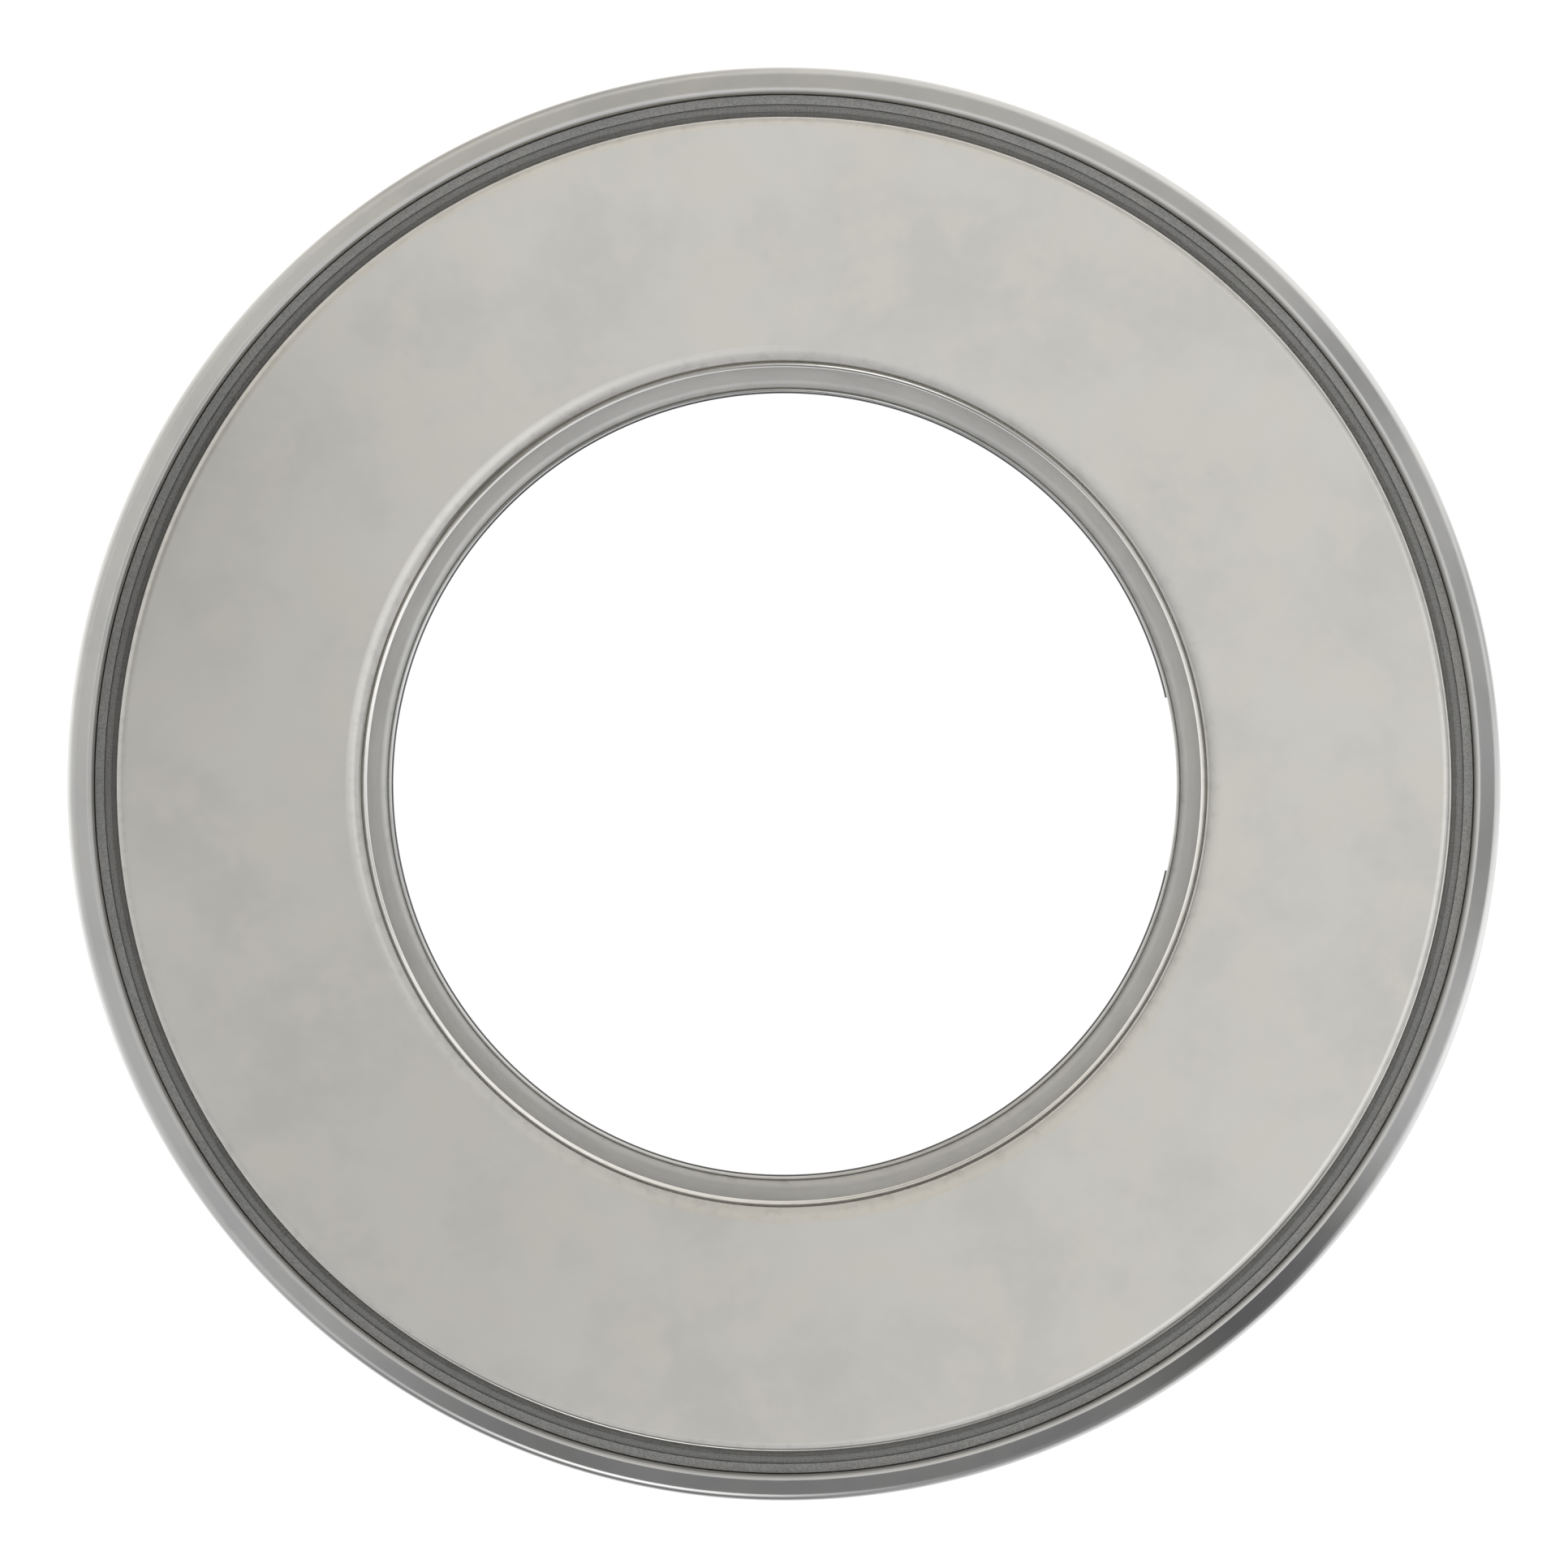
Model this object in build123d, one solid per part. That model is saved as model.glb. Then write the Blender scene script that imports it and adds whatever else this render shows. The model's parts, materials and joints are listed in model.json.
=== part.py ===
from build123d import *

import math
import os

# Thrust ball bearing, 30 mm shaft, in a pressed steel shell that holds the whole stack together.
# The axis is Z. The origin is the centre of the lower washer's flat bottom face.

# Overall sizes
SHELL_DIAMETER = 55.0
HEIGHT = 16.0
MID_HEIGHT = HEIGHT / 2

# Balls and raceways
BALL_DIAMETER = 7.938
BALL_RADIUS = BALL_DIAMETER / 2
BALL_COUNT = 14
PITCH_RADIUS = 20.75
GROOVE_RADIUS = 0.54 * BALL_DIAMETER
RACE_CLEARANCE = 0.03
WASHER_THICKNESS = 5.5
WASHER_EDGE = 0.4

# Upper washer, which takes the housing side of the load
UPPER_BORE_RADIUS = 16.0
UPPER_BORE_FILLET = 0.86
UPPER_RIM_RADIUS = 25.6
UPPER_RIM_FILLET = 0.36
UPPER_ROOT_RADIUS = 25.8
FLANGE_RADIUS = 26.3
FLANGE_TOP = 13.3
FLANGE_THICKNESS = 1.1
FLANGE_EDGE = 0.12

# Lower washer, which sits on the shaft
LOWER_BORE_RADIUS = 15.06
LOWER_BORE_FILLET = 0.44
LOWER_BORE_CHAMFER = 0.6
LOWER_SEAT_CHAMFER = 1.4

# Pressed shell
SHELL_RADIUS = SHELL_DIAMETER / 2
SHELL_SHEET = 0.8
SHELL_INNER_RADIUS = SHELL_RADIUS - SHELL_SHEET
SHELL_LIP_END = 0.8
SHELL_BEND_RADIUS = 1.0
RIM_TOP = 14.85
RIM_CREST_INNER_RADIUS = 26.67
RIM_CREST_OUTER_RADIUS = 26.72
RIM_MOUTH_RADIUS = 26.42
RIM_CONE_ANGLE = 45.0
RIM_SHOULDER_RADIUS = 27.265
RIM_SHOULDER_ANGLE = 57.0
RIM_SHOULDER_ROUND = 1.4

# Keeper ring, clamped between the shell's inner step and its rolled rim
KEEPER_BORE_RADIUS = 26.06
KEEPER_RADIUS = 26.95
KEEPER_THICKNESS = 0.6
KEEPER_TOP = 14.12
KEEPER_EDGE = 0.04

# Split snap ring in the lower washer's bore
SNAP_BORE_RADIUS = 14.985
SNAP_RADIUS = 15.95
SNAP_HEIGHT = 1.0
SNAP_EDGE = 0.12
SNAP_GAP_DEGREES = 25.5
SNAP_GROOVE_RADIUS = 16.15
SNAP_GROOVE_BOTTOM = 1.4
SNAP_GROOVE_HEIGHT = 1.04

# Pressed cage, a channel ring that is open below
CAGE_SHEET = 0.5
CAGE_INNER_RADIUS = 16.10
CAGE_OUTER_RADIUS = 25.40
CAGE_TOP = 9.8
CAGE_BOTTOM = 6.4
CAGE_BEND_RADIUS = 0.45
CAGE_LIP = 0.3
POCKET_CLEARANCE = 0.15


def ring(profile, turn=360):
    """One closed outline in the XZ half plane, turned about Z, a full ring unless told less."""
    return revolve(Plane.XZ * profile, Axis.Z, revolution_arc=turn)


def round_profile(points_and_radii):
    """A flat section through (radius, height, corner radius) triples, its corners rounded."""
    points = [(radius, height) for radius, height, corner in points_and_radii]
    face = make_face(Polyline(*points, close=True))
    for radius, height, corner in points_and_radii:
        if corner > 0:
            here = Vector(radius, height, 0)
            nearest = min(face.vertices(), key=lambda vertex: (Vector(*vertex) - here).length)
            face = fillet(nearest, corner)
    return face


def cut_raceway(washer, side):
    """Cuts the ball groove into a washer. side is 1 for the washer above the balls, -1 below."""
    deepest = MID_HEIGHT + side * (BALL_RADIUS + RACE_CLEARANCE)
    centre_height = deepest - side * GROOVE_RADIUS
    section = Plane.XZ * Pos(PITCH_RADIUS, centre_height) * Circle(GROOVE_RADIUS)
    return washer - revolve(section, Axis.Z)


def make_upper_washer():
    """Housing washer: plain top face, large bore, and a flange that the keeper ring holds down.

    Its side leans out a little from the top edge to the flange.
    """
    bottom = HEIGHT - WASHER_THICKNESS
    flange_bottom = FLANGE_TOP - FLANGE_THICKNESS
    flange_step = FLANGE_RADIUS - UPPER_RIM_RADIUS
    profile = round_profile([
        (UPPER_BORE_RADIUS, HEIGHT, UPPER_BORE_FILLET),
        (UPPER_RIM_RADIUS, HEIGHT, UPPER_RIM_FILLET),
        (UPPER_ROOT_RADIUS, FLANGE_TOP, 0),
        (FLANGE_RADIUS, FLANGE_TOP, FLANGE_EDGE),
        (FLANGE_RADIUS, flange_bottom, FLANGE_EDGE),
        (UPPER_RIM_RADIUS, flange_bottom - flange_step, 0),
        (UPPER_RIM_RADIUS, bottom, WASHER_EDGE),
        (UPPER_BORE_RADIUS, bottom, WASHER_EDGE),
    ])
    return cut_raceway(ring(profile), 1)


def make_lower_washer():
    """Shaft washer: bore with a snap ring groove, raceway on top, seat chamfer for the shell's lip."""
    groove_top = SNAP_GROOVE_BOTTOM + SNAP_GROOVE_HEIGHT
    profile = round_profile([
        (LOWER_BORE_RADIUS, WASHER_THICKNESS, LOWER_BORE_FILLET),
        (SHELL_INNER_RADIUS, WASHER_THICKNESS, WASHER_EDGE),
        (SHELL_INNER_RADIUS, LOWER_SEAT_CHAMFER, 0),
        (SHELL_INNER_RADIUS - LOWER_SEAT_CHAMFER, 0, 0),
        (LOWER_BORE_RADIUS + LOWER_BORE_CHAMFER, 0, 0),
        (LOWER_BORE_RADIUS, LOWER_BORE_CHAMFER, 0),
        (LOWER_BORE_RADIUS, SNAP_GROOVE_BOTTOM, 0),
        (SNAP_GROOVE_RADIUS, SNAP_GROOVE_BOTTOM, 0),
        (SNAP_GROOVE_RADIUS, groove_top, 0),
        (LOWER_BORE_RADIUS, groove_top, 0),
    ])
    return cut_raceway(ring(profile), -1)


def make_outer_shell():
    """Pressed shell: straight wall, lip rolled under the lower washer, rim rolled over the keeper ring.

    The rim has a coined cone on top. A steeper round shoulder joins the cone to the wall.
    """
    cone_slope = math.tan(math.radians(RIM_CONE_ANGLE))
    shoulder_slope = math.tan(math.radians(RIM_SHOULDER_ANGLE))
    shoulder_height = RIM_TOP - (RIM_SHOULDER_RADIUS - RIM_CREST_OUTER_RADIUS) * cone_slope
    wall_top = shoulder_height - (SHELL_RADIUS - RIM_SHOULDER_RADIUS) * shoulder_slope
    mouth_round = RIM_CREST_INNER_RADIUS - RIM_MOUTH_RADIUS
    slant = SHELL_SHEET / math.sqrt(2)
    lip_inner_radius = SHELL_INNER_RADIUS - (LOWER_SEAT_CHAMFER - SHELL_LIP_END)
    lip_outer_radius = lip_inner_radius + slant
    lip_outer_height = SHELL_LIP_END - slant
    wall_foot = lip_outer_height + SHELL_RADIUS - lip_outer_radius
    keeper_bottom = KEEPER_TOP - KEEPER_THICKNESS
    profile = round_profile([
        (RIM_MOUTH_RADIUS, RIM_TOP, mouth_round),
        (RIM_CREST_OUTER_RADIUS, RIM_TOP, 0),
        (RIM_SHOULDER_RADIUS, shoulder_height, 0),
        (SHELL_RADIUS, wall_top, RIM_SHOULDER_ROUND),
        (SHELL_RADIUS, wall_foot, SHELL_BEND_RADIUS),
        (lip_outer_radius, lip_outer_height, 0),
        (lip_inner_radius, SHELL_LIP_END, 0),
        (SHELL_INNER_RADIUS, LOWER_SEAT_CHAMFER, 0),
        (SHELL_INNER_RADIUS, keeper_bottom, 0),
        (KEEPER_RADIUS, keeper_bottom, 0),
        (KEEPER_RADIUS, KEEPER_TOP, 0),
        (RIM_MOUTH_RADIUS, KEEPER_TOP, 0),
    ])
    return ring(profile)


def make_keeper_ring():
    """Flat ring that overlies the upper washer's flange, so that the stack can't come apart."""
    keeper_bottom = KEEPER_TOP - KEEPER_THICKNESS
    return ring(round_profile([
        (KEEPER_BORE_RADIUS, KEEPER_TOP, KEEPER_EDGE),
        (KEEPER_RADIUS, KEEPER_TOP, 0),
        (KEEPER_RADIUS, keeper_bottom, 0),
        (KEEPER_BORE_RADIUS, keeper_bottom, KEEPER_EDGE),
    ]))


def make_snap_ring():
    """Split ring that stands slightly proud of the bore, with its gap centred on +X."""
    top = SNAP_GROOVE_BOTTOM + SNAP_HEIGHT
    profile = round_profile([
        (SNAP_BORE_RADIUS, top, SNAP_EDGE),
        (SNAP_RADIUS, top, SNAP_EDGE),
        (SNAP_RADIUS, SNAP_GROOVE_BOTTOM, SNAP_EDGE),
        (SNAP_BORE_RADIUS, SNAP_GROOVE_BOTTOM, SNAP_EDGE),
    ])
    return Rot(0, 0, SNAP_GAP_DEGREES / 2) * ring(profile, 360 - SNAP_GAP_DEGREES)


def make_cage():
    """Channel ring with a pocket for each ball. Small lips at the open side keep the balls in it."""
    inner_wall = CAGE_INNER_RADIUS + CAGE_SHEET
    outer_wall = CAGE_OUTER_RADIUS - CAGE_SHEET
    web_bottom = CAGE_TOP - CAGE_SHEET
    lip_top = CAGE_BOTTOM + CAGE_SHEET
    cage = ring(round_profile([
        (CAGE_INNER_RADIUS, CAGE_TOP, CAGE_BEND_RADIUS),
        (CAGE_OUTER_RADIUS, CAGE_TOP, CAGE_BEND_RADIUS),
        (CAGE_OUTER_RADIUS, CAGE_BOTTOM, 0),
        (outer_wall - CAGE_LIP, CAGE_BOTTOM, 0),
        (outer_wall - CAGE_LIP, lip_top, 0),
        (outer_wall, lip_top, 0),
        (outer_wall, web_bottom, 0),
        (inner_wall, web_bottom, 0),
        (inner_wall, lip_top, 0),
        (inner_wall + CAGE_LIP, lip_top, 0),
        (inner_wall + CAGE_LIP, CAGE_BOTTOM, 0),
        (CAGE_INNER_RADIUS, CAGE_BOTTOM, 0),
    ]))
    for place in ball_places():
        cage -= place * Sphere(BALL_RADIUS + POCKET_CLEARANCE)
    return cage


def ball_places():
    """Ball centres at mid height, evenly spaced round the pitch circle, the first one on +X."""
    middle = Pos(0, 0, MID_HEIGHT)
    return [middle * place for place in PolarLocations(PITCH_RADIUS, BALL_COUNT).locations]


def main():
    """Builds every piece and writes each one to its own file."""
    os.makedirs("parts", exist_ok=True)
    pieces = {
        "outer_shell": make_outer_shell(),
        "keeper_ring": make_keeper_ring(),
        "upper_washer": make_upper_washer(),
        "lower_washer": make_lower_washer(),
        "snap_ring": make_snap_ring(),
        "cage": make_cage(),
    }
    for number, place in enumerate(ball_places(), start=1):
        pieces[f"ball_{number:02d}"] = place * Sphere(BALL_RADIUS)
    for name, piece in pieces.items():
        export_step(piece, os.path.join("parts", f"{name}.step"))


if __name__ == "__main__":
    main()
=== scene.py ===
import json
import math

import bpy
import numpy as np
from mathutils import Matrix, Vector

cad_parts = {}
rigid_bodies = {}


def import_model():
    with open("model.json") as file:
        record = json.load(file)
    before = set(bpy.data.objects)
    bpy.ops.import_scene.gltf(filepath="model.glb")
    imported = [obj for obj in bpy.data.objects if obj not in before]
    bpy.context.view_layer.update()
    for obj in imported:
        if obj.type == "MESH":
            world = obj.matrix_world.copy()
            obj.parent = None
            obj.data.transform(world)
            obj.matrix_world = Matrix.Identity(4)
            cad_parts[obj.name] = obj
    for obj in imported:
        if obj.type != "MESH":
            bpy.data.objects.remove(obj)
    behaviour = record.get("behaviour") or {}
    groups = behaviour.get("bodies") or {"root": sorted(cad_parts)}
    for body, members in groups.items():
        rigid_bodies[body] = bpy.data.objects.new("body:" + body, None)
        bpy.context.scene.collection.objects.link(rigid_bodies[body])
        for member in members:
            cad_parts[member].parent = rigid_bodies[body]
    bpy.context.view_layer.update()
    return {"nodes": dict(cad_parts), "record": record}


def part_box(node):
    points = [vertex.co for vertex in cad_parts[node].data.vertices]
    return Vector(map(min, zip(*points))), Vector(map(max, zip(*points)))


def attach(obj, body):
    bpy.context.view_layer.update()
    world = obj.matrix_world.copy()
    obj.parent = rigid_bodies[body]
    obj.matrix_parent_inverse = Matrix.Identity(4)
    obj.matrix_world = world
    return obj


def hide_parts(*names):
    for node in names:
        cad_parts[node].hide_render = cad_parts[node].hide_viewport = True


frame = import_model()

# Thrust ball bearing. Everything is in metres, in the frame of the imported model: the bearing's axis is Z,
# its flat bottom face is at Z 0, and the snap ring's gap is on +X.

MM = 0.001
FULL_TURN = 2 * math.pi
MOUNTS = {mount["name"]: mount for mount in frame["record"]["mounts"]}

# How finely round work is divided
RING_STEPS = 360
ARC_STEP = math.radians(6)
BALL_GRID = 30
POCKET_GRID = 18

# The two ends of a mesh's "edge" value (worn with a painted highlight, and grimy with painted shade), how far
# it reaches from a corner, and the smallest bend that has none
WORN_AND_HIGHLIT = 1.0
GRIMY_AND_SHADED = -1.0
EDGE_MARK_REACH = 0.12 * MM
EDGE_MARK_BEND = 0.9 * MM

# Two heights or places closer than this are the same
SAME = 1e-9


def node_span(node):
    """(outer radius, lowest height, highest height) of a round CAD node."""
    low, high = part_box(node)
    return max(-low[1], high[1]), low[2], high[2]


UPPER_BORE = MOUNTS["housing_washer_bore"]["dims"]["r_mm"] * MM
LOWER_BORE = MOUNTS["shaft_bore"]["dims"]["r_mm"] * MM
FLANGE_RADIUS, UPPER_BOTTOM, UPPER_TOP = node_span("upper_washer")
LOWER_RADIUS, LOWER_BOTTOM, LOWER_TOP = node_span("lower_washer")
SHELL_RADIUS, _, SHELL_TOP = node_span("outer_shell")
KEEPER_RADIUS, KEEPER_BOTTOM, KEEPER_TOP = node_span("keeper_ring")
SNAP_RADIUS, SNAP_BOTTOM, SNAP_TOP = node_span("snap_ring")
CAGE_RADIUS, CAGE_BOTTOM, CAGE_TOP = node_span("cage")
BALL_LOW, BALL_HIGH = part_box("ball_01")
BALL_RADIUS = (BALL_HIGH[2] - BALL_LOW[2]) / 2
PITCH_RADIUS = (BALL_HIGH[0] + BALL_LOW[0]) / 2
MID_HEIGHT = (BALL_HIGH[2] + BALL_LOW[2]) / 2
BALLS = sorted(node for node in frame["nodes"] if node.startswith("ball_"))

# Shapes that the frame's boxes don't hold
UPPER_BORE_FILLET = 0.86 * MM
UPPER_RIM_RADIUS = 25.6 * MM
UPPER_RIM_FILLET = 0.36 * MM
UPPER_ROOT_RADIUS = 25.8 * MM
FLANGE_TOP = 13.3 * MM
FLANGE_THICKNESS = 1.1 * MM
SMALL_EDGE = 0.12 * MM
WASHER_EDGE = 0.4 * MM
LOWER_BORE_FILLET = 0.44 * MM
LOWER_BORE_CHAMFER = 0.6 * MM
LOWER_SEAT_CHAMFER = 1.4 * MM
RACE_CLEARANCE = 0.03 * MM
GROOVE_RADIUS = 1.08 * BALL_RADIUS
SHELL_INNER = LOWER_RADIUS
SHELL_SHEET = SHELL_RADIUS - SHELL_INNER
SHELL_LIP_END = 0.8 * MM
SHELL_BEND = 1.0 * MM
RIM_CREST_INNER = 26.67 * MM
RIM_CREST_OUTER = 26.72 * MM
RIM_MOUTH = 26.42 * MM
RIM_CONE_SLOPE = math.tan(math.radians(45))
RIM_SHOULDER = 27.265 * MM
RIM_SHOULDER_SLOPE = math.tan(math.radians(57))
RIM_SHOULDER_ROUND = 1.4 * MM
KEEPER_BORE = 26.06 * MM
KEEPER_EDGE = 0.04 * MM
SNAP_BORE = 14.985 * MM
SNAP_HALF_GAP = math.radians(12.75)
SNAP_GROOVE_RADIUS = 16.15 * MM
SNAP_GROOVE_HEIGHT = 1.04 * MM
CAGE_SHEET = 0.5 * MM
CAGE_INNER = 16.10 * MM
CAGE_BEND = 0.45 * MM
CAGE_LIP = 0.3 * MM
POCKET_CLEARANCE = 0.15 * MM


# Sections. A section is a closed outline, made of straight and round runs. A run is a list of points, and
# each point is (radius, height, normal's radius part, normal's height part, edge). The normals keep the
# shading exact across joins. The edge value is the worn end on an outward corner, which gets a painted
# highlight, the grimy end in an inward one, which gets grime and painted shade, and 0 elsewhere. A corner
# that faces outward but sits in shade is given the grimy end in its entry, so painted shade falls on it.

def straight_run(start, end, start_edge=0.0, end_edge=0.0):
    """A straight piece of outline, with the solid on its left."""
    start, end = Vector(start), Vector(end)
    length = (end - start).length
    along = (end - start) / length
    reach = min(EDGE_MARK_REACH, length / 3)
    stations = ((0, start_edge), (reach, 0.0), (length - reach, 0.0), (length, end_edge))
    return [(*(start + along * far), along.y, -along.x, edge) for far, edge in stations]


def round_run(centre, radius, from_angle, to_angle, hollow, edge=0.0):
    """An arc of outline. A hollow arc has its solid outside the circle."""
    steps = max(2, math.ceil(abs(to_angle - from_angle) / ARC_STEP))
    facing = -1 if hollow else 1
    run = []
    for i in range(steps + 1):
        angle = from_angle + (to_angle - from_angle) * i / steps
        out = Vector((math.cos(angle), math.sin(angle)))
        run.append((*(Vector(centre) + radius * out), *(facing * out), edge * math.sin(math.pi * i / steps)))
    return run


def corner_run(before, corner, after, radius, mark=None):
    """The arc that rounds a corner. mark is its edge value, if that isn't the usual one."""
    before, corner, after = Vector(before), Vector(corner), Vector(after)
    to_before = (before - corner).normalized()
    to_after = (after - corner).normalized()
    half = to_before.angle(to_after) / 2
    centre = corner + (to_before + to_after).normalized() * radius / math.sin(half)
    start = corner + to_before * radius / math.tan(half)
    end = corner + to_after * radius / math.tan(half)
    from_angle = math.atan2(start.y - centre.y, start.x - centre.x)
    turn = math.atan2(end.y - centre.y, end.x - centre.x) - from_angle
    turn = (turn + math.pi) % FULL_TURN - math.pi
    usual = math.copysign(WORN_AND_HIGHLIT, turn) if radius < EDGE_MARK_BEND else 0.0
    edge = usual if mark is None else mark
    return round_run(centre, radius, from_angle, from_angle + turn, turn < 0, edge)


def section(corners):
    """Runs round a closed outline of (radius, height, corner radius[, edge]), counter-clockwise."""
    places = [Vector(corner[:2]) for corner in corners]
    count = len(corners)
    arcs, starts, ends, edges = {}, [], [], []
    for i, (_, _, rounding, *mark) in enumerate(corners):
        before, after = places[i - 1], places[(i + 1) % count]
        if rounding > 0:
            arcs[i] = corner_run(before, places[i], after, rounding, *mark)
            starts.append(arcs[i][0][:2])
            ends.append(arcs[i][-1][:2])
            edges.append(0.0)
        else:
            starts.append(places[i])
            ends.append(places[i])
            turn = (places[i] - before).cross(after - places[i])
            edges.append(math.copysign(WORN_AND_HIGHLIT, turn))
    runs = []
    for i in range(count):
        after = (i + 1) % count
        if i in arcs:
            runs.append(arcs[i])
        if (Vector(starts[after]) - Vector(ends[i])).length > SAME:
            runs.append(straight_run(ends[i], starts[after], edges[i], edges[after]))
    return runs


def lathe(name, runs, start=0.0, sweep=FULL_TURN):
    """A mesh from section runs turned about Z. A part turn gets a flat cap at each end."""
    full = sweep == FULL_TURN
    steps = RING_STEPS if full else math.ceil(RING_STEPS * sweep / FULL_TURN)
    columns = steps if full else steps + 1
    firsts = np.array([point for run in runs for point in run[:-1]])
    lasts = np.array([point for run in runs for point in run[1:]])
    rows = len(firsts)
    angles = start + sweep * np.arange(steps + 1) / steps
    directions = np.stack([np.cos(angles), np.sin(angles)], axis=1)

    def turned(pairs, count):
        """(radius part, height part) pairs at every column, as columns by rows by XYZ."""
        flat = directions[:count, None, :] * pairs[None, :, :1]
        heights = np.broadcast_to(pairs[None, :, 1:], (count, rows, 1))
        return np.concatenate([flat, heights], axis=2)

    vertices = turned(firsts[:, :2], columns).reshape(-1, 3)
    column, row = np.arange(steps)[:, None], np.arange(rows)[None, :]
    here, there = column * rows, (column + 1) % columns * rows
    above = (row + 1) % rows
    faces = np.stack([here + row, there + row, there + above, here + above], axis=2)
    faces = faces.reshape(-1, 4).tolist()
    low, high = turned(firsts[:, 2:4], steps + 1), turned(lasts[:, 2:4], steps + 1)
    normals = np.stack([low[:-1], low[1:], high[1:], high[:-1]], axis=2)
    normals = normals.reshape(-1, 3).tolist()
    if not full:
        for at, order in ((0, 1), (steps, -1)):
            cap = [at * rows + i for i in range(rows)]
            faces.append(cap[::order])
            across = (order * math.sin(angles[at]), -order * math.cos(angles[at]), 0.0)
            normals += [across] * rows
    mesh = bpy.data.meshes.new(name)
    mesh.from_pydata(vertices.tolist(), [], faces)
    mesh.polygons.foreach_set("use_smooth", [True] * len(faces))
    mesh.normals_split_custom_set(normals)
    edge = mesh.attributes.new("edge", "FLOAT", "POINT")
    edge.data.foreach_set("value", np.tile(firsts[:, 4], columns))
    return mesh


def groove_run(side):
    """The ball groove's arc in a washer. side is 1 above the balls and -1 below."""
    deepest = MID_HEIGHT + side * (BALL_RADIUS + RACE_CLEARANCE)
    centre_height = deepest - side * GROOVE_RADIUS
    face = UPPER_BOTTOM if side > 0 else LOWER_TOP
    half = math.acos(abs(face - centre_height) / GROOVE_RADIUS)
    middle = side * math.pi / 2
    return round_run((PITCH_RADIUS, centre_height), GROOVE_RADIUS, middle + half, middle - half, True)


def with_groove(runs, side):
    """Puts the groove into the flat run that faces the balls."""
    groove = groove_run(side)
    face = groove[0][1]
    out = []
    for run in runs:
        start, end = run[0], run[-1]
        flat = abs(start[1] - face) < SAME and abs(end[1] - face) < SAME
        if flat and min(start[0], end[0]) < PITCH_RADIUS < max(start[0], end[0]):
            out.append(straight_run(start[:2], groove[0][:2], start[4], WORN_AND_HIGHLIT))
            out.append(groove)
            out.append(straight_run(groove[-1][:2], end[:2], WORN_AND_HIGHLIT, end[4]))
        else:
            out.append(run)
    return out


def upper_washer_mesh():
    """Housing washer: its side leans out from the top edge to the flange."""
    step = FLANGE_RADIUS - UPPER_RIM_RADIUS
    flange_bottom = FLANGE_TOP - FLANGE_THICKNESS
    runs = section([
        (UPPER_BORE, UPPER_BOTTOM, WASHER_EDGE),
        (UPPER_RIM_RADIUS, UPPER_BOTTOM, WASHER_EDGE),
        (UPPER_RIM_RADIUS, flange_bottom - step, 0),
        (FLANGE_RADIUS, flange_bottom, SMALL_EDGE),
        (FLANGE_RADIUS, FLANGE_TOP, SMALL_EDGE),
        (UPPER_ROOT_RADIUS, FLANGE_TOP, 0),
        (UPPER_RIM_RADIUS, UPPER_TOP, UPPER_RIM_FILLET),
        (UPPER_BORE, UPPER_TOP, UPPER_BORE_FILLET),
    ])
    return lathe("upper_washer_mesh", with_groove(runs, 1))


def lower_washer_mesh():
    """Shaft washer, with the snap ring's groove in its bore."""
    groove_top = SNAP_BOTTOM + SNAP_GROOVE_HEIGHT
    runs = section([
        (LOWER_BORE + LOWER_BORE_CHAMFER, LOWER_BOTTOM, 0),
        (LOWER_RADIUS - LOWER_SEAT_CHAMFER, LOWER_BOTTOM, 0),
        (LOWER_RADIUS, LOWER_BOTTOM + LOWER_SEAT_CHAMFER, 0),
        (LOWER_RADIUS, LOWER_TOP, WASHER_EDGE),
        (LOWER_BORE, LOWER_TOP, LOWER_BORE_FILLET),
        (LOWER_BORE, groove_top, 0),
        (SNAP_GROOVE_RADIUS, groove_top, 0),
        (SNAP_GROOVE_RADIUS, SNAP_BOTTOM, 0),
        (LOWER_BORE, SNAP_BOTTOM, 0),
        (LOWER_BORE, LOWER_BOTTOM + LOWER_BORE_CHAMFER, 0),
    ])
    return lathe("lower_washer_mesh", with_groove(runs, -1))


def outer_shell_mesh():
    """Pressed shell: lip rolled under, straight wall, round shoulder, and a coined cone on the rolled rim."""
    shoulder_height = SHELL_TOP - (RIM_SHOULDER - RIM_CREST_OUTER) * RIM_CONE_SLOPE
    wall_top = shoulder_height - (SHELL_RADIUS - RIM_SHOULDER) * RIM_SHOULDER_SLOPE
    lip_radius = SHELL_INNER - (LOWER_SEAT_CHAMFER - SHELL_LIP_END)
    slant = SHELL_SHEET / math.sqrt(2)
    wall_foot = SHELL_LIP_END - slant + SHELL_RADIUS - (lip_radius + slant)
    runs = section([
        (lip_radius + slant, SHELL_LIP_END - slant, 0),
        (SHELL_RADIUS, wall_foot, SHELL_BEND),
        (SHELL_RADIUS, wall_top, RIM_SHOULDER_ROUND),
        (RIM_SHOULDER, shoulder_height, 0),
        (RIM_CREST_OUTER, SHELL_TOP, 0),
        # painted shade: the rim's rounded mouth faces outward but is given the grimy end, so it is darkened
        # for the shaded gap below it
        (RIM_MOUTH, SHELL_TOP, RIM_CREST_INNER - RIM_MOUTH, GRIMY_AND_SHADED),
        (RIM_MOUTH, KEEPER_TOP, 0),
        (KEEPER_RADIUS, KEEPER_TOP, 0),
        (KEEPER_RADIUS, KEEPER_BOTTOM, 0),
        (SHELL_INNER, KEEPER_BOTTOM, 0),
        (SHELL_INNER, LOWER_SEAT_CHAMFER, 0),
        (lip_radius, SHELL_LIP_END, 0),
    ])
    return lathe("outer_shell_mesh", runs)


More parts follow.
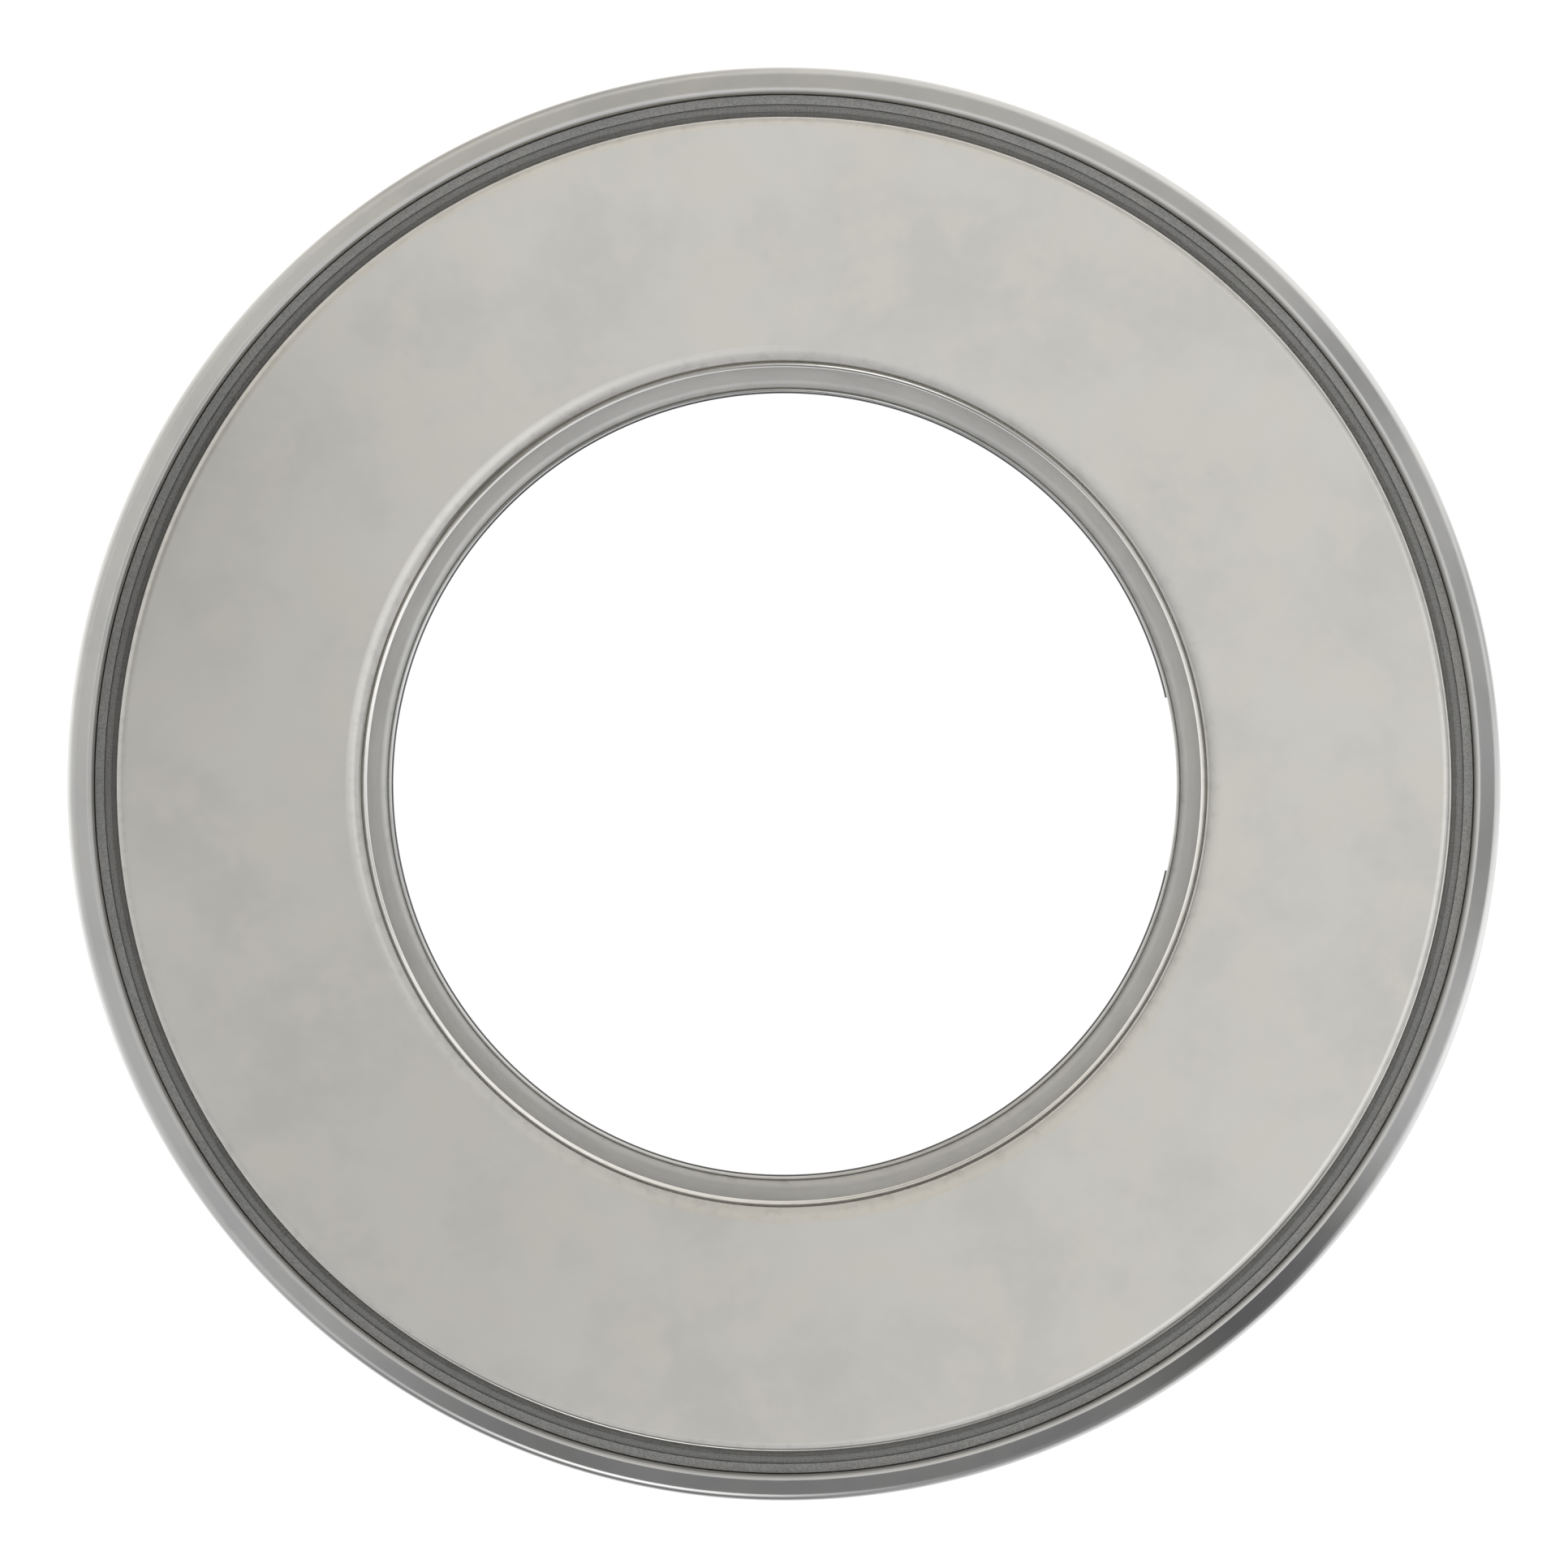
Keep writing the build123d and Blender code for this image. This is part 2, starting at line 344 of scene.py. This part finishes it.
def keeper_ring_mesh():
    """Flat ring over the upper washer's flange."""
    runs = section([
        # painted shade: both bore corners are given the grimy end, so they are darkened for the dark gap at
        # the keeper's bore
        (KEEPER_BORE, KEEPER_BOTTOM, KEEPER_EDGE, GRIMY_AND_SHADED),
        (KEEPER_RADIUS, KEEPER_BOTTOM, 0),
        (KEEPER_RADIUS, KEEPER_TOP, 0),
        (KEEPER_BORE, KEEPER_TOP, KEEPER_EDGE, GRIMY_AND_SHADED),
    ])
    return lathe("keeper_ring_mesh", runs)


def snap_ring_mesh():
    """Split ring with its gap on +X."""
    runs = section([
        (SNAP_BORE, SNAP_BOTTOM, SMALL_EDGE),
        (SNAP_RADIUS, SNAP_BOTTOM, SMALL_EDGE),
        (SNAP_RADIUS, SNAP_TOP, SMALL_EDGE),
        (SNAP_BORE, SNAP_TOP, SMALL_EDGE),
    ])
    return lathe("snap_ring_mesh", runs, SNAP_HALF_GAP, FULL_TURN - 2 * SNAP_HALF_GAP)


def ball_grid(steps):
    """Directions and square-ish faces of a ball: a grid on each side of a cube, pushed out to the sphere."""
    spread = np.tan(np.linspace(-1, 1, steps + 1) * math.pi / 4)
    across, along = np.meshgrid(spread, spread, indexing="ij")
    side = np.stack([across, along, np.ones_like(across)], axis=2).reshape(-1, 3)
    side /= np.linalg.norm(side, axis=1, keepdims=True)
    corner = (np.arange(steps)[:, None] * (steps + 1) + np.arange(steps)).reshape(-1, 1)
    quads = corner + np.array([[0, steps + 1, steps + 2, 1]])
    turns = [Matrix.Rotation(math.pi / 2 * i, 3, "X") for i in range(4)]
    turns += [Matrix.Rotation(math.pi / 2 * way, 3, "Y") for way in (1, -1)]
    directions = np.concatenate([side @ np.array(turn).round().T for turn in turns])
    faces = np.concatenate([quads + i * len(side) for i in range(len(turns))])
    places = directions.round(6) + 0.0  # the sum makes -0 and 0 the same place
    _, kept, renamed = np.unique(places, axis=0, return_index=True, return_inverse=True)
    return directions[kept], renamed.reshape(-1)[faces]


def ball_mesh(name, centre, radius, grid):
    """A ball from the directions and faces of a ball_grid."""
    directions, faces = grid
    mesh = bpy.data.meshes.new(name)
    mesh.from_pydata((directions * radius + np.array(centre)).tolist(), [], faces.tolist())
    mesh.polygons.foreach_set("use_smooth", [True] * len(faces))
    mesh.normals_split_custom_set_from_vertices(directions.tolist())
    return mesh


def ball_centre(node):
    low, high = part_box(node)
    return (Vector(low) + Vector(high)) / 2


def cage_mesh():
    """The channel ring, with a pocket cut for each ball."""
    inner_wall = CAGE_INNER + CAGE_SHEET
    outer_wall = CAGE_RADIUS - CAGE_SHEET
    web_bottom = CAGE_TOP - CAGE_SHEET
    lip_top = CAGE_BOTTOM + CAGE_SHEET
    runs = section([
        (CAGE_INNER, CAGE_BOTTOM, 0),
        (inner_wall + CAGE_LIP, CAGE_BOTTOM, 0),
        (inner_wall + CAGE_LIP, lip_top, 0),
        (inner_wall, lip_top, 0),
        (inner_wall, web_bottom, 0),
        (outer_wall, web_bottom, 0),
        (outer_wall, lip_top, 0),
        (outer_wall - CAGE_LIP, lip_top, 0),
        (outer_wall - CAGE_LIP, CAGE_BOTTOM, 0),
        (CAGE_RADIUS, CAGE_BOTTOM, 0),
        (CAGE_RADIUS, CAGE_TOP, CAGE_BEND),
        (CAGE_INNER, CAGE_TOP, CAGE_BEND),
    ])
    blank = bpy.data.objects.new("cage_blank", lathe("cage_blank_mesh", runs))
    bpy.context.scene.collection.objects.link(blank)
    cutters = bpy.data.collections.new("pocket_cutters")
    bpy.context.scene.collection.children.link(cutters)
    grid = ball_grid(POCKET_GRID)
    for node in BALLS:
        pocket = ball_mesh(f"pocket_{node}", ball_centre(node), BALL_RADIUS + POCKET_CLEARANCE, grid)
        cutters.objects.link(bpy.data.objects.new(f"pocket_{node}", pocket))
    cut = blank.modifiers.new("pockets", "BOOLEAN")
    cut.operand_type = "COLLECTION"
    cut.collection = cutters
    cut.solver = "MANIFOLD"
    depsgraph = bpy.context.evaluated_depsgraph_get()
    mesh = bpy.data.meshes.new_from_object(blank.evaluated_get(depsgraph))
    mesh.name = "cage_mesh"
    for cutter in list(cutters.objects):
        bpy.data.objects.remove(cutter)
    bpy.data.collections.remove(cutters)
    bpy.data.objects.remove(blank)
    return mesh


# Materials

class Nodes:
    """A short way to write a node tree."""

    def __init__(self, tree):
        self.tree = tree
        tree.nodes.clear()

    def add(self, kind, inputs=None, **settings):
        node = self.tree.nodes.new(kind)
        for name, value in settings.items():
            setattr(node, name, value)
        for name, value in (inputs or {}).items():
            if isinstance(value, bpy.types.NodeSocket):
                self.tree.links.new(value, node.inputs[name])
            else:
                node.inputs[name].default_value = value
        return node

    def math(self, operation, a, b=0.0, c=0.0):
        return self.add("ShaderNodeMath", {0: a, 1: b, 2: c}, operation=operation).outputs[0]

    def sum(self, *values):
        total = values[0]
        for value in values[1:]:
            total = self.math("ADD", total, value)
        return total

    def step(self, value, start, end):
        """0 before start and 1 after end, with a smooth change between."""
        inputs = {"Value": value, "From Min": start, "From Max": end}
        return self.add("ShaderNodeMapRange", inputs, interpolation_type="SMOOTHSTEP").outputs["Result"]

    def hump(self, value, half_width, power=2.0):
        """1 where value is 0, falling away by half_width on both sides. A higher power has steeper sides."""
        away = self.math("DIVIDE", self.math("ABSOLUTE", value), half_width)
        return self.math("EXPONENT", self.math("MULTIPLY", self.math("POWER", away, power), -1.0))

    def noise(self, place, size, detail=3.0, roughness=0.55):
        """Noise from 0 to 1 with features about size across."""
        inputs = {"Vector": place, "Scale": 1 / size, "Detail": detail, "Roughness": roughness}
        return self.add("ShaderNodeTexNoise", inputs).outputs["Fac"]

    def blend(self, factor, first, second):
        """Mixes two colours."""
        inputs = {"Factor": factor, "A": first, "B": second}
        return self.add("ShaderNodeMix", inputs, data_type="RGBA").outputs["Result"]

    def ramp(self, value, stops):
        """A grey ramp with (place, shade) stops."""
        node = self.add("ShaderNodeValToRGB", {"Fac": value})
        elements = node.color_ramp.elements
        while len(elements) < len(stops):
            elements.new(0.5)
        for element, (place, shade) in zip(elements, stops):
            element.position = place
            element.color = (shade, shade, shade, 1)
        return node.outputs["Color"]


# The dark grey painted on as shade where the steel sits down in the recess, and how much rougher that dull
# steel is
RECESS_SHADE_STEEL = (0.45, 0.45, 0.445)
DULL_ROUGHER = 0.26
DULL_SHADE_BLEND = 0.08 * MM

# Streaks are read round a small circle, which draws them out round the axis, and lines from a small share of
# the height, which draws them out along it
STREAK_CIRCLE = 2.0 * MM
LINE_SHARE = 0.03

# Sizes of the features in the steel
GRAIN_SIZE = {"turned": 0.05 * MM, "drawn": 0.10 * MM, "tumbled": 0.15 * MM}
GRAIN_DEPTH = 0.002 * MM
SPECK_SIZE = 0.07 * MM
STREAK_SIZE = 0.25 * MM
WEAR_PATCH_SIZE = 0.5 * MM
SMUDGE_SIZE = 0.8 * MM
WARM_PATCH_SIZE = 3.0 * MM
CLOUD_SIZE = 5.5 * MM

# What each feature does to the colour, by channel, and to the roughness
WARM_CHANGE = (1.0, 0.992, 0.975)
STREAK_CHANGE = (0.84, 0.83, 0.81)
STREAK_ROUGHER = 0.06
# painted shade: how dark grimy corners are made, for grime and for the shade in them
GRIME_AND_PAINTED_SHADE = 0.40
GRIME_ROUGHER = 0.10
# painted shade: how dark the specks are
SPECK_SHADE = 0.25
# painted highlight: how much lighter worn edges are made, and how strongly
WORN_AND_PAINTED_HIGHLIGHT = 1.2
WORN_HIGHLIGHT_STRENGTH = 0.6
WORN_SMOOTHER = 0.04
SMUDGE_ROUGHER = 0.06


def shaded(colour, change):
    """A colour with an alpha of 1, its channels multiplied by one change or by three, and none over 1."""
    changes = change if isinstance(change, tuple) else (change,) * 3
    return (*(min(1.0, channel * by) for channel, by in zip(colour, changes)), 1)


def steel(name, colour, roughness, lay, clouds=0.10, grain=0.2, shade_speckle=0.0, streaks=0.0, dirt_and_shade=0.35,
          dull_shaded_from=None):
    """Steel with soft tone changes, fine grain along its lay, worn edges with a painted highlight, and grime
    with painted shade in its corners.

    lay is how the surface was finished: "turned" is rings round the axis, "drawn" is lines up the wall,
    and "tumbled" has no direction. clouds, grain, shade_speckle, streaks and dirt_and_shade are how strong
    each is. With a dull_shaded_from, the surface beyond that radius is left dull and painted dark as shade in
    the recess, and the specks of painted shade keep to that part.
    """
    material = bpy.data.materials.new(name)
    material.use_nodes = True
    n = Nodes(material.node_tree)
    place = n.add("ShaderNodeTexCoord").outputs["Object"]
    x, y, z = n.add("ShaderNodeSeparateXYZ", {"Vector": place}).outputs
    radius = n.math("SQRT", n.sum(n.math("MULTIPLY", x, x), n.math("MULTIPLY", y, y)))
    around = n.math("ARCTAN2", y, x)
    rings = n.add("ShaderNodeCombineXYZ", {"X": radius, "Y": z}).outputs[0]
    long_way = {axis: n.math("MULTIPLY", n.math(way, around), STREAK_CIRCLE)
                for axis, way in (("Y", "COSINE"), ("Z", "SINE"))}
    arcs = n.add("ShaderNodeCombineXYZ", {"X": radius, **long_way}).outputs[0]
    up = n.math("MULTIPLY", z, LINE_SHARE)
    lines = n.add("ShaderNodeCombineXYZ", {"X": x, "Y": y, "Z": up}).outputs[0]
    grain_place = {"turned": rings, "drawn": lines, "tumbled": place}[lay]
    fine = n.noise(grain_place, GRAIN_SIZE[lay], 3.0, 0.6)

    # where the edges are worn and get a painted highlight, the corners are grimy and get painted shade, and
    # the surface is streaky
    edge = n.add("ShaderNodeAttribute", attribute_name="edge").outputs["Fac"]
    patchy = n.step(n.noise(place, WEAR_PATCH_SIZE, 4.0), 0.25, 0.55)
    worn_and_highlight = n.math("MULTIPLY", n.math("MAXIMUM", edge, 0.0), patchy)
    grime_and_shade = n.math("MAXIMUM", n.math("MULTIPLY", edge, -1.0), 0.0)
    streaky = n.math("MULTIPLY", n.step(n.noise(arcs, STREAK_SIZE, 3.0), 0.45, 0.75), streaks)

    cloudy = n.step(n.noise(place, CLOUD_SIZE, 6.0, 0.60), 0.33, 0.67)
    warm = n.step(n.noise(place, WARM_PATCH_SIZE, 4.0, 0.60), 0.4, 0.7)
    tone = n.blend(cloudy, shaded(colour, 1 - clouds), shaded(colour, 1.0))
    tone = n.blend(warm, tone, shaded(colour, WARM_CHANGE))
    tone = n.blend(streaky, tone, shaded(colour, STREAK_CHANGE))
    # painted shade: grimy corners are darkened for grime and for the shade that falls in them
    tone = n.blend(n.math("MULTIPLY", grime_and_shade, dirt_and_shade), tone, shaded(colour, GRIME_AND_PAINTED_SHADE))
    # painted highlight: worn edges are lightened, standing in for the bright reflections along rounded edges
    tone = n.blend(n.math("MULTIPLY", worn_and_highlight, WORN_HIGHLIGHT_STRENGTH), tone, shaded(colour, WORN_AND_PAINTED_HIGHLIGHT))
    rough = n.sum(
        roughness - SMUDGE_ROUGHER / 2,
        n.math("MULTIPLY", n.noise(place, SMUDGE_SIZE, 5.0), SMUDGE_ROUGHER),
        n.math("MULTIPLY", worn_and_highlight, -WORN_SMOOTHER),
        n.math("MULTIPLY", grime_and_shade, GRIME_ROUGHER),
        n.math("MULTIPLY", streaky, STREAK_ROUGHER),
    )
    shade_speck_strength = shade_speckle
    # painted shade: beyond dull_shaded_from the steel is made dull and painted dark, for the shade deep in
    # the recess
    if dull_shaded_from:
        dull_and_shaded = n.step(radius, dull_shaded_from, dull_shaded_from + DULL_SHADE_BLEND)
        tone = n.blend(dull_and_shaded, tone, shaded(RECESS_SHADE_STEEL, 1.0))
        rough = n.math("MULTIPLY_ADD", dull_and_shaded, DULL_ROUGHER, rough)
        shade_speck_strength = n.math("MULTIPLY", dull_and_shaded, shade_speckle)
    # painted shade: dark specks standing in for the grainy shade deep in the recess
    shade_specks = n.step(n.noise(place, SPECK_SIZE, 2.0, 0.6), 0.42, 0.62)
    tone = n.blend(n.math("MULTIPLY", shade_specks, shade_speck_strength), tone, shaded(RECESS_SHADE_STEEL, SPECK_SHADE))
    bump = n.add("ShaderNodeBump", {"Height": fine, "Strength": grain, "Distance": GRAIN_DEPTH})
    shader = n.add(
        "ShaderNodeBsdfPrincipled",
        {"Base Color": tone, "Metallic": 1.0, "Roughness": rough, "Normal": bump.outputs["Normal"]},
    )
    n.add("ShaderNodeOutputMaterial", {"Surface": shader.outputs["BSDF"]})
    return material


def add_piece(mesh, body, node, material):
    """One finished piece: shown in place of its CAD node, riding on its body."""
    piece = bpy.data.objects.new(f"{node}_finished", mesh)
    bpy.context.scene.collection.objects.link(piece)
    mesh.materials.clear()
    mesh.materials.append(material)
    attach(piece, body)
    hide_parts(node)


def make_pieces():
    # painted shade: past the flange's root the housing washer is painted dark, with specks, for the shade in
    # the recess
    upper = steel("ground_upper_steel", (0.752, 0.736, 0.70), 0.14, "turned", clouds=0.085, grain=0.25,
                  shade_speckle=0.35, dull_shaded_from=UPPER_ROOT_RADIUS - 0.05 * MM)
    # painted shade: the shaft washer's steel is made darker, for the shade it sits in under the housing
    # washer
    lower = steel("ground_lower_steel_painted_shade", (0.575, 0.57, 0.555), 0.22, "turned", grain=0.3, streaks=0.35)
    # the shell's corners, the rim's mouth among them, get strong grime and painted shade
    pressed = steel("pressed_shell_steel", (0.71, 0.708, 0.70), 0.15, "drawn", dirt_and_shade=0.75)
    # painted shade: the keeper's steel is coloured dark for the shade down in the recess
    shaded_keeper = steel("keeper_steel_painted_shade", (0.40, 0.40, 0.395), 0.40, "turned", grain=0.3, shade_speckle=0.35)
    # painted shade: the snap ring's steel is made very dark, for the shade deep in the bore
    spring = steel("spring_steel_painted_shade", (0.24, 0.24, 0.25), 0.30, "turned", clouds=0.15, grain=0.3)
    cage = steel("pressed_cage_steel", (0.62, 0.605, 0.58), 0.28, "tumbled", clouds=0.12, grain=0.3)
    polished = steel("polished_ball_steel", (0.80, 0.80, 0.80), 0.06, "tumbled", clouds=0.03, grain=0.02)
    add_piece(outer_shell_mesh(), "shell", "outer_shell", pressed)
    add_piece(keeper_ring_mesh(), "shell", "keeper_ring", shaded_keeper)
    add_piece(upper_washer_mesh(), "housing_washer", "upper_washer", upper)
    add_piece(lower_washer_mesh(), "shell", "lower_washer", lower)
    add_piece(snap_ring_mesh(), "shell", "snap_ring", spring)
    add_piece(cage_mesh(), "ball_cage", "cage", cage)
    grid = ball_grid(BALL_GRID)
    for node in BALLS:
        ball = ball_mesh(f"{node}_mesh", ball_centre(node), BALL_RADIUS, grid)
        add_piece(ball, f"{node}_body", node, polished)


# Studio

# How much of the frame the bearing fills from above
FRAME_FILL = 0.91418
CAMERA_HEIGHT = 0.5

DISC_STEPS = 64
FLOOR_RADIUS = 4.0
FLOOR_DROP = 0.02 * MM
FLOOR_SHADE = (0.3, 0.3, 0.3, 1)
FLOOR_GLOW = 0.93

# The overhead sheet, and the patches of gauze in it: (x, y, half width, light taken), in mm but for the last
GAUZE_HEIGHT = 28 * MM
GAUZE_RADIUS = 90 * MM
GAUZE_PATCHES = [(-34, 15, 15, 0.41), (-20, -17, 27, 0.21)]

# The side of the studio that is warm, with an azimuth and half width in degrees, and the tint of the rest
WARM_AZIMUTH = 110
WARM_HALF_WIDTH = 65
WARM_TINT = (1.0, 0.972, 0.915, 1)
COOL_TINT = (0.985, 0.992, 1.0, 1)

# Brightness of the surroundings by elevation in degrees, and the least that dark cards leave of it
DOME = [(-90, 0.95), (-65, 0.98), (-45, 0.80), (-28, 0.68), (-12, 0.58), (0, 0.57), (10, 0.57), (20, 0.60),
        (30, 0.64), (42, 0.70), (60, 0.76), (90, 0.79)]
DARKEST = 0.05

# Soft cards round the object: (azimuth, elevation, half width, half height, brightness added), in degrees
CARDS = [
    # level with the bearing, seen in the rim's cone
    (318, 7, 10, 9, -0.38),
    (306, 3, 6, 9, -0.11),
    (350, 4, 30, 8, -0.17),
    (335, 3, 12, 9, 0.20),
    (355, 3, 7, 8, -0.08),
    (36, 0, 6, 8, -0.17),
    (300, 14, 10, 12, -0.15),
    (277, -7, 44, 12, -0.40),
    (245, -2, 12, 10, -0.11),
    (148, 0, 30, 10, 0.12),
    # below it, seen in the rim's shoulder
    (60, -33, 80, 12, 0.14),
    (304, -31, 20, 12, -0.42),
    (282, -29, 8, 9, -0.12),
    (315, -29, 6, 9, -0.20),
    (257, -31, 12, 7, 1.00),
    (342, -44, 14, 18, 0.40),
    (45, -46, 26, 16, 0.22),
    (180, -56, 34, 14, 0.15),
    (256, -51, 30, 16, -0.65),
    (222, -51, 18, 14, -0.12),
    (112, -53, 20, 18, -0.36),
    (14, -52, 9, 12, -0.30),
    # high, seen in the rounded edges of the bores
    (325, 63, 38, 22, 0.24),
    (10, 48, 22, 10, 0.12),
    (205, 50, 42, 25, -0.05),
    (285, 44, 34, 12, -0.06),
]


def disc(name, radius, height, facing):
    """A flat round sheet of scenery. facing is 1 for up and -1 for down."""
    angles = [FULL_TURN * i / DISC_STEPS for i in range(DISC_STEPS)]
    mesh = bpy.data.meshes.new(name)
    rim = [(radius * math.cos(a), facing * radius * math.sin(a), 0) for a in angles]
    mesh.from_pydata(rim, [], [list(range(DISC_STEPS))])
    sheet = bpy.data.objects.new(name, mesh)
    sheet.location.z = height
    bpy.context.scene.collection.objects.link(sheet)
    material = bpy.data.materials.new(name)
    material.use_nodes = True
    mesh.materials.append(material)
    return sheet, Nodes(material.node_tree)


def make_floor():
    """A white floor that glows enough to read as a plain white ground, and can be seen through from below."""
    floor, n = disc("studio_floor", FLOOR_RADIUS, -FLOOR_DROP, 1)
    floor.visible_glossy = False
    matt = n.add("ShaderNodeBsdfDiffuse", {"Color": FLOOR_SHADE})
    glow = n.add("ShaderNodeEmission", {"Color": (1, 1, 1, 1), "Strength": FLOOR_GLOW})
    both = n.add("ShaderNodeAddShader", {0: matt.outputs[0], 1: glow.outputs[0]})
    clear = n.add("ShaderNodeBsdfTransparent")
    under = n.add("ShaderNodeNewGeometry").outputs["Backfacing"]
    shown = n.add("ShaderNodeMixShader", {"Fac": under, 1: both.outputs[0], 2: clear.outputs[0]})
    n.add("ShaderNodeOutputMaterial", {"Surface": shown.outputs[0]})


def make_gauze():
    """A clear sheet just over the bearing with patches of gauze in it, which only reflections see."""
    gauze, n = disc("overhead_gauze", GAUZE_RADIUS, GAUZE_HEIGHT, -1)
    gauze.visible_camera = False
    gauze.visible_diffuse = False
    gauze.visible_shadow = False
    place = n.add("ShaderNodeTexCoord").outputs["Object"]
    x, y, _ = n.add("ShaderNodeSeparateXYZ", {"Vector": place}).outputs
    left = 1.0
    for at_x, at_y, half_width, taken in GAUZE_PATCHES:
        across = n.hump(n.math("SUBTRACT", x, at_x * MM), half_width * MM)
        along = n.hump(n.math("SUBTRACT", y, at_y * MM), half_width * MM)
        left = n.math("MULTIPLY_ADD", n.math("MULTIPLY", across, along), -taken, left)
    cloth = n.add("ShaderNodeBsdfTransparent", {"Color": left})
    n.add("ShaderNodeOutputMaterial", {"Surface": cloth.outputs[0]})


def make_world():
    """A pale studio with soft cards round it for reflections, and plain white behind the object."""
    world = bpy.data.worlds.new("studio")
    bpy.context.scene.world = world
    world.use_nodes = True
    n = Nodes(world.node_tree)
    direction = n.add("ShaderNodeTexCoord").outputs["Generated"]
    x, y, z = n.add("ShaderNodeSeparateXYZ", {"Vector": direction}).outputs
    elevation = n.math("DEGREES", n.math("ARCSINE", z))
    azimuth = n.math("DEGREES", n.math("ARCTAN2", y, x))
    height = n.math("MULTIPLY_ADD", elevation, 1 / 180, 0.5)
    level = n.ramp(height, [(0.5 + at / 180, shade) for at, shade in DOME])
    for card_azimuth, card_elevation, half_width, half_height, added in CARDS:
        turn = n.math("WRAP", n.math("SUBTRACT", azimuth, card_azimuth), 180.0, -180.0)
        rise = n.math("SUBTRACT", elevation, card_elevation)
        card = n.math("MULTIPLY", n.hump(turn, half_width, 3.0), n.hump(rise, half_height, 3.0))
        level = n.math("MULTIPLY_ADD", card, added, level)
    level = n.math("MAXIMUM", level, DARKEST)
    from_warm = n.math("WRAP", n.math("SUBTRACT", azimuth, WARM_AZIMUTH), 180.0, -180.0)
    tint = n.blend(n.hump(from_warm, WARM_HALF_WIDTH), COOL_TINT, WARM_TINT)
    studio = n.add("ShaderNodeBackground", {"Color": tint, "Strength": level})
    plain = n.add("ShaderNodeBackground", {"Color": (1, 1, 1, 1), "Strength": 1.0})
    seen = n.add("ShaderNodeLightPath").outputs["Is Camera Ray"]
    shown = n.add("ShaderNodeMixShader", {"Fac": seen, 1: studio.outputs[0], 2: plain.outputs[0]})
    n.add("ShaderNodeOutputWorld", {"Surface": shown.outputs[0]})


def make_camera():
    """Straight above the bearing, with no perspective."""
    camera = bpy.data.objects.new("camera", bpy.data.cameras.new("camera"))
    bpy.context.scene.collection.objects.link(camera)
    camera.data.type = "ORTHO"
    camera.data.ortho_scale = 2 * SHELL_RADIUS / FRAME_FILL
    camera.location = (0, 0, CAMERA_HEIGHT)
    camera.data.clip_start = 0.01
    camera.data.clip_end = 10.0
    bpy.context.scene.camera = camera


make_pieces()
make_floor()
make_gauze()
make_world()
make_camera()
bpy.context.scene.view_settings.view_transform = "Standard"
